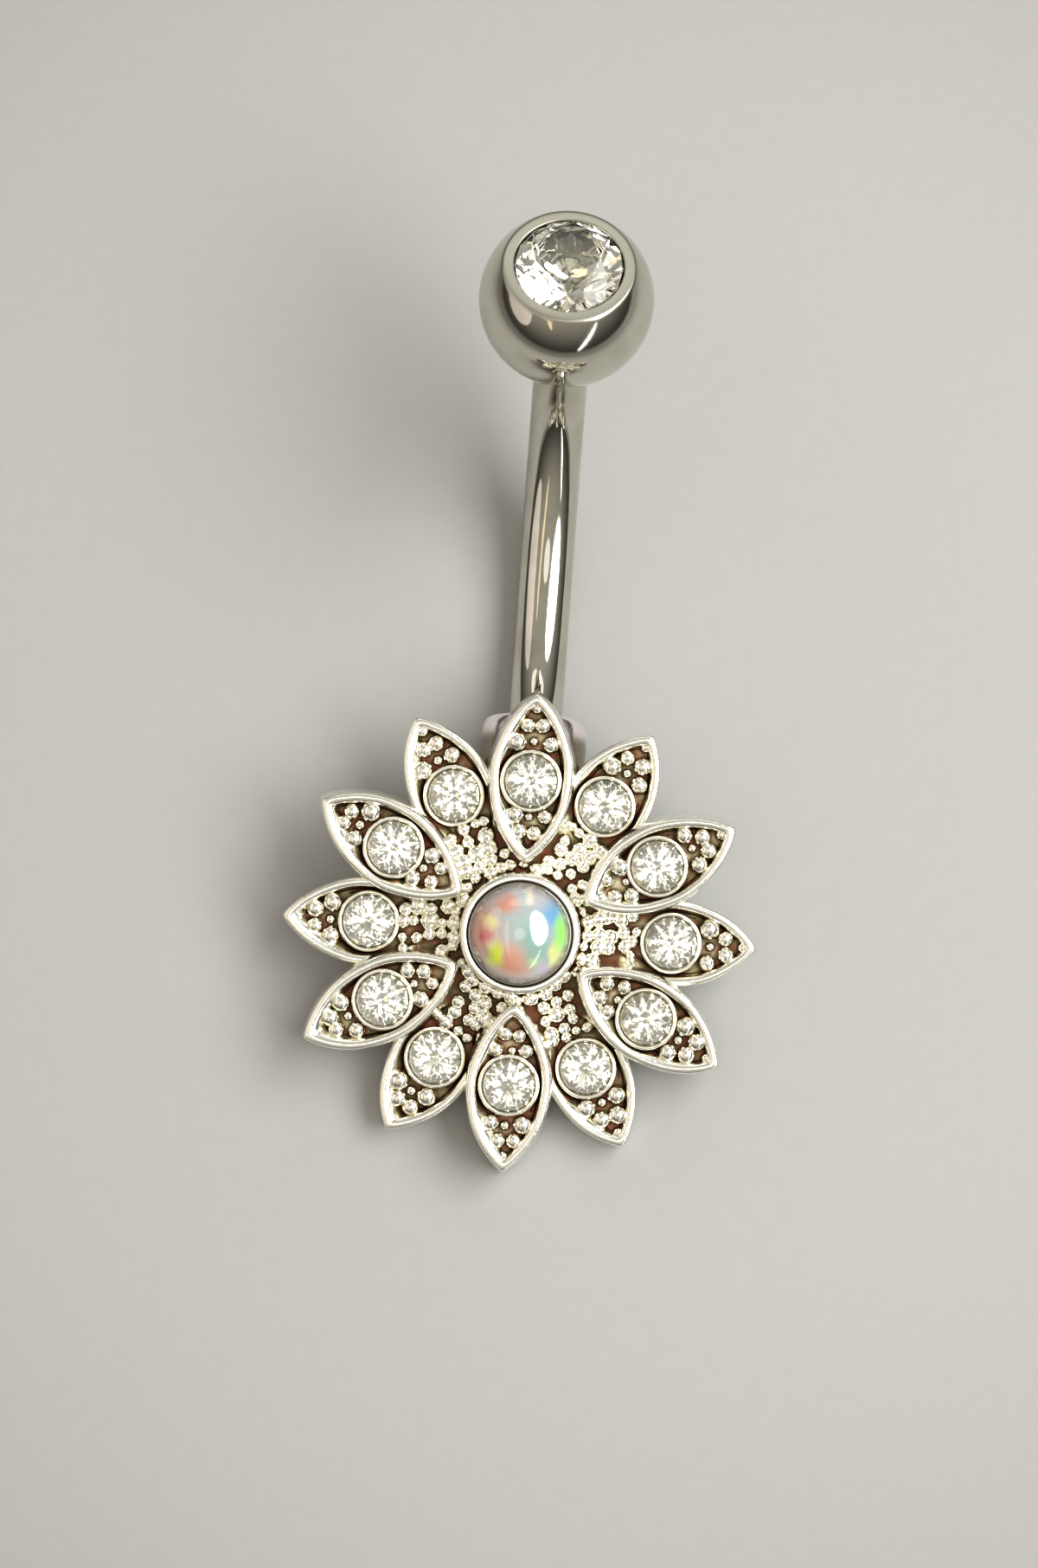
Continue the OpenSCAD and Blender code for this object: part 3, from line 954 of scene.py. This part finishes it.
# %% Rings along the bend of the bar
BARREL_AXIS = np.array([0, -cos(BARREL_LEAN), sin(BARREL_LEAN)])
BARREL_AT = np.array([0, BARREL_END, -BARREL_DEPTH])
HOLE_R = BAR_R + GAP


def on_bend(angle):
    """Points of the bar's centreline, and the directions away from the bend's middle, at
    angles counted from the bend's lowest point."""
    angle = np.asarray(angle, float)
    away = np.stack([0 * angle, np.sin(angle), -np.cos(angle)], axis=-1)
    return np.array([0, BEND_Y, BEND_Z]) + BEND_R * away, away


def bar_rings(angles, radius, columns):
    """Rings about the bend: centreline + radius (cos t X + sin t away)."""
    middle, away = on_bend(angles)
    t = np.linspace(0, 2 * pi, columns, endpoint=False)[:, None]
    radius = np.reshape(radius, (-1, 1, 1))
    return middle[:, None] + radius * (np.cos(t) * [1, 0, 0] + np.sin(t) * away[:, None])


print("the bar bends through", round((LEAN_BACK + LEAN_FRONT) * 180 / pi), "degrees")


# %% Match the points of two rings
def counted(points, start, backwards, axis):
    """The points of a ring, counted from another start and perhaps the other way round."""
    return np.roll(np.flip(points, axis) if backwards else points, start, axis)


def best_turn(ring, other):
    """How to count the points of the other ring so that they face those of the ring: the
    start and the sense with the least total distance."""
    def distance(turn):
        return np.linalg.norm(ring - counted(other, *turn, 0), axis=1).sum()

    tries = [(start, backwards) for start in range(0, len(ring), 2) for backwards in (False, True)]
    return min(tries, key=distance)


ring = revolved(np.array([(1.0, 0.0)]), 12)[0]
print("a ring that was turned by 4 of its 12 points needs", best_turn(ring, np.roll(ring, 4, 0)))

# %% Cast the barrel
# The last ring of the end face, the depths between which the pale end turns into the painted
# shade of the side, and the rings of the hole's wall as shares of its depth
FACE_R = HOLE_R + 0.3
END_TO_SHADE = (0.3, 0.8)
HOLE_STEPS = np.linspace(0.3, 1, 4)


def barrel_grid(columns=ROUND_COLUMNS):
    """The barrel's rings, then the hole's mouth, where a ring of the bend is slid along the
    bar until it lies on the end face, and the rings of the hole's wall. The hollow value goes
    from 2 at the end to 3 where the barrel disappears under the petals, which paints the barrel
    darker there as their shade."""
    r = BARREL_D / 2
    profile = denser(rounded(
        [(AXIS_R, BARREL_LEN), (r, BARREL_LEN), (r, 0.0), (FACE_R, 0.0)],
        [0, BARREL_ROUND, BARREL_ROUND, 0], steps=9), 0.2)
    outside = revolved(profile, columns, BARREL_AT, BARREL_AXIS)
    start = -LEAN_BACK
    ring = bar_rings([start], HOLE_R, columns)[0]
    way = np.array([0, cos(start), sin(start)])
    mouth = ring + ((BARREL_AT - ring) @ BARREL_AXIS / (way @ BARREL_AXIS))[:, None] * way
    wall = bar_rings(start - HOLE_STEPS * BAR_SEAT / BEND_R, HOLE_R, columns)
    turn = best_turn(outside[-1], mouth)
    inside = [counted(mouth, *turn, 0)[None], counted(wall, *turn, 1)]
    hollow = np.concatenate([2 + smooth(profile[:, 1], *END_TO_SHADE), [0.9], np.ones(len(wall))])
    return np.concatenate([outside, *inside]), hollow


flower_shells.append(shell(*barrel_grid()))
make_piece("flower_casting", flower_shells, CASTING, "flower")

# %% [markdown]
# ## Bar
# The bar is drawn wire bent in one even arc. At the ball's end it steps down to the stud
# that the ball is screwed onto.

# %% Bend the bar
BAR_COLUMNS = 64
BAR_ROWS = 140
BAR_BEVEL = 0.06
STUD_R = STUD_D / 2
STUD_BEVEL = 0.1
STUD_FILLET = 0.02


def bar_shell():
    """Rings of equal radius along the bend, a small bevel at each end, then the stud's rings
    straight on along the ball's axis."""
    first, last = -LEAN_BACK - BAR_SEAT / BEND_R, LEAN_FRONT
    bevel = BAR_BEVEL / BEND_R
    angles = [first, first, *np.linspace(first + bevel, last - bevel, BAR_ROWS), last, last, last]
    radius = [AXIS_R, BAR_R - BAR_BEVEL, *np.full(BAR_ROWS, BAR_R), BAR_R - BAR_BEVEL,
              STUD_R + STUD_FILLET, STUD_R]
    body = bar_rings(angles, radius, BAR_COLUMNS)
    along = np.array([STUD_FILLET, STUD_LEN - STUD_BEVEL, STUD_LEN, STUD_LEN])
    girth = [STUD_R, STUD_R, STUD_R - STUD_BEVEL, AXIS_R]
    stud = bar_rings(np.full(4, last), girth, BAR_COLUMNS) + along[:, None, None] * BALL_AXIS
    return shell(np.concatenate([body, stud]), 0.0)


make_piece("bar", [bar_shell()], STEEL, "stem")

# %% [markdown]
# ## Ball
# The ball is turned: a flat foot with the hole for the stud, the round, a rim round the
# crystal with softened edges, and a cup with a conical seat. One profile holds it all, so
# the rim, which nobody buffed, can have its own finish without being a piece of its own.

# %% Turn the ball
SPHERE_ROWS = 90
HOLE_BEVEL = 0.03
RIM_BENDS = [0, 0.17, 0.05, 0.03, 0]
# How far below the cup's level the unbuffed rim starts and is reached
RIM_START = 0.12
RIM_FULL = 0.02


def ball_profile():
    """Foot, sphere, rim and cup as (radius, height) about the ball's axis."""
    foot_r = BAR_R + FOOT_W
    cup_r = GEM_D / 2 + GAP
    rim_r = cup_r + CUP_RIM
    low, high = atan2(FOOT_LEVEL, foot_r), atan2(CUP_LEVEL, rim_r)
    arc = np.linspace(low + 0.02, high - 0.03, SPHERE_ROWS)
    sphere = BALL_R * np.stack([np.cos(arc), np.sin(arc)], axis=1)
    hole_r, hole_end = STUD_R + GAP, FOOT_LEVEL + STUD_LEN
    foot = [(AXIS_R, hole_end), (hole_r, hole_end), (hole_r, FOOT_LEVEL + HOLE_BEVEL),
            (hole_r + HOLE_BEVEL, FOOT_LEVEL), (foot_r - 0.01, FOOT_LEVEL),
            (foot_r + 0.02, FOOT_LEVEL + 0.008)]
    seat_point = GEM_LEVEL - (PAVILION + POINT_ROOM) * GEM_D
    rim = rounded([sphere[-1], (rim_r, CUP_LEVEL - 0.01), (cup_r, CUP_LEVEL),
                   (cup_r, GEM_LEVEL), (AXIS_R, seat_point)], RIM_BENDS, steps=9)
    return denser(np.concatenate([foot, sphere, rim[1:]]), 0.25)


ball_outline = ball_profile()
unbuffed_rim = smooth(ball_outline[:, 1], CUP_LEVEL - RIM_START, CUP_LEVEL - RIM_FULL)
ball_rings = revolved(ball_outline, FINE_COLUMNS, BALL_AT, BALL_AXIS)
make_piece("ball_body", [shell(ball_rings, unbuffed_rim)], STEEL, "ball")

# %% [markdown]
# ## Stones
# The opal is turned as a straight side under a shallow dome. The cut crystals already have
# their exact facets, so those solids stay and only get their glass.

# %% Turn the opal and finish the crystals
DOME_ROWS = 40
OPAL_R = OPAL_D / 2


def opal_profile():
    """The opal's side and dome as (radius, height). The dome is an arc of radius
    R = (r^2 + h^2) / (2 h) over a base of radius r, h high."""
    bottom = OPAL_BASE + GAP
    shoulder = bottom + OPAL_SIDE
    dome_r = (OPAL_R ** 2 + OPAL_DOME ** 2) / (2 * OPAL_DOME)
    fall = np.linspace(asin(OPAL_R / dome_r) - 0.02, 0.005, DOME_ROWS)
    height = shoulder + OPAL_DOME - dome_r + dome_r * np.cos(fall)
    dome = np.stack([dome_r * np.sin(fall), height], axis=1)
    side = rounded(
        [(AXIS_R, bottom), (OPAL_R, bottom), (OPAL_R, shoulder - 0.02)], [0, 0.05, 0])
    return np.concatenate([side, dome])


opal_rings = revolved(opal_profile(), ROUND_COLUMNS)
make_piece("opal_dome", [shell(opal_rings, 0.0)], OPAL, "opal")

cut_stones = [name for name in nodes if name == "ball_gem" or name.startswith("petal_stone")]
for name in cut_stones:
    nodes[name].data.materials.clear()
    nodes[name].data.materials.append(CRYSTAL)
print("cut stones:", len(cut_stones))

# %% [markdown]
# ## Table and light
# The ring lies on a plain pale table whose colour is painted darker a little way off, a painted
# falloff of light, because the flanks of the ball and the bar mirror it and need something dark.
# Polished metal shows what stands around it, so the lights are chosen by what they put into the
# reflections: an oval window to the right and a strip below it give each round form its white
# highlight, a golden and a pinkish panel to the left warm the other side, and the dim room
# between them, darkest at its horizon, gives the dark bands that make steel look like steel.

# %% Lay the table
PALE_TABLE = [(0.385, 0.385, 0.38), (0.41, 0.41, 0.40)]
FAR_TABLE_SHADE = (0.18, 0.175, 0.17)
# In metres: half the table's side, and from where to where it changes to the painted shade of
# the far colour
TABLE_HALF = 1.5
PALE_WITHIN = 0.016
FAR_BEYOND = 0.060


def table_finish():
    """A fine pale mottle, and the far colour, a painted shade, by the distance from the ring, in
    metres.
    """
    finish = Finish("pale_table")
    mottle = finish.noise(0.5, detail=3)
    far = finish.length(finish.place()).step(PALE_WITHIN, FAR_BEYOND)
    return finish.surface(
        Base_Color=finish.mix(far, finish.mix(mottle, *PALE_TABLE), FAR_TABLE_SHADE),
        Roughness=0.75 + mottle * 0.1, Specular_IOR_Level=0.15)


corners = TABLE_HALF * np.array([(-1, -1, 0), (1, -1, 0), (1, 1, 0), (-1, 1, 0)])
table_mesh = bpy.data.meshes.new("table")
table_mesh.from_pydata(corners.tolist(), [], [(0, 1, 2, 3)])
table_mesh.materials.append(table_finish())
table = bpy.data.objects.new("table", table_mesh)
bpy.context.scene.collection.objects.link(table)


# %% Hang the lights
def soft_light(name, right_degrees, up_degrees, away, width, height, radiance, colour):
    """An oval light, so many degrees to the right of the way out of the flower's face and
    above it, so many millimetres away and turned to the flower. Its power is its radiance
    times pi times its area, which is pi / 4 width height."""
    right, up = radians(right_degrees), radians(up_degrees)
    light = bpy.data.lights.new(name, "AREA")
    light.shape = "ELLIPSE"
    light.size = width * MM
    light.size_y = height * MM
    light.energy = radiance * pi * (pi / 4 * width * height * MM ** 2)
    light.color = colour
    lamp = bpy.data.objects.new(name, light)
    bpy.context.scene.collection.objects.link(lamp)
    place = seen_from_face(away * sin(right) * cos(up), away * sin(up), away * cos(right) * cos(up))
    back = (place - face_middle).normalized()
    level = image_up.cross(back).normalized()
    aim = Matrix((level, back.cross(level), back)).transposed().to_4x4()
    lamp.matrix_world = Matrix.Translation(place) @ aim
    print(name, "gives", round(light.energy, 3), "watts")


# Degrees to the right and up, distance, width and height, radiance, colour
soft_light("window", 40, 11, 190, 130, 252, 6.5, (1.0, 0.995, 0.97))
soft_light("side_strip", 46, -50, 190, 16, 150, 3.5, (1.0, 0.99, 0.95))
soft_light("gold_panel", -26, -6, 200, 26, 300, 1.2, (1.0, 0.78, 0.44))
soft_light("far_panel", -62, 10, 190, 120, 300, 0.8, (1.0, 0.88, 0.82))
soft_light("back_window", 8, 68, 190, 150, 70, 1.1, (1.0, 0.97, 0.90))
soft_light("overhead", 0, 0, 230, 96, 96, 1.2, (1.0, 0.99, 0.94))


# %% Dim the room towards its horizon
DARK_HORIZON = (0.05, 0.045, 0.042)
DIM_CEILING = (0.50, 0.47, 0.41)


def room():
    """The room's glow grows smoothly with height, from the horizon to the ceiling."""
    world = bpy.data.worlds.new("dim_room")
    sky = Finish("dim_room", world)
    direction = sky.node("TexCoord", out="Generated")
    height = sky.node("SeparateXYZ", inputs={"Vector": direction}, out="Z")
    glow = sky.mix(height.step(-0.05, 0.85), DARK_HORIZON, DIM_CEILING)
    shader = sky.node("Background", inputs={"Color": glow})
    sky.node("OutputWorld", inputs={"Surface": shader})
    return world


bpy.context.scene.world = room()
bpy.context.scene.view_settings.view_transform = "Standard"
print("the ceiling is", round(DIM_CEILING[0] / DARK_HORIZON[0]), "times as bright as the horizon")
